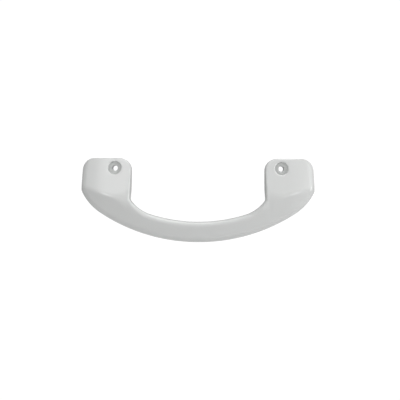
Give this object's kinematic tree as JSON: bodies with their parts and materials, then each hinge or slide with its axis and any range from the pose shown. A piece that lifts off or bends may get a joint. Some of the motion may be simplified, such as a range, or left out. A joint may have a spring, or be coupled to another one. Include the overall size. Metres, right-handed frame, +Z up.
{
  "type": "bow pull handle",
  "caption": "Smile-shaped bow pull handle for a window or door sash, with two broad feet and a screw well in each.",
  "frame": {"origin": "on the mounting plane, midway between the axes of the two fixing screws", "axes": "+X along the handle to its right as seen from the front, +Y out of the back into the sash, +Z up towards the tops of the feet; the front faces -Y"},
  "size_m": [0.178, 0.032, 0.0637],
  "materials": {
    "front_moulding": "glossy white",
    "back_moulding": "white, slightly duller than the front",
    "sleeve": "zinc plated",
    "pad": "matt",
    "shell_screw": "zinc plated"
  },
  "bodies": {
    "root": {"front_shell": "front_moulding", "back_shell": "back_moulding", "left_screw_sleeve": "sleeve", "right_screw_sleeve": "sleeve", "left_foot_pad": "pad", "right_foot_pad": "pad", "left_upper_shell_screw": "shell_screw", "left_lower_shell_screw": "shell_screw", "right_upper_shell_screw": "shell_screw", "right_lower_shell_screw": "shell_screw"}
  },
  "joints": []
}
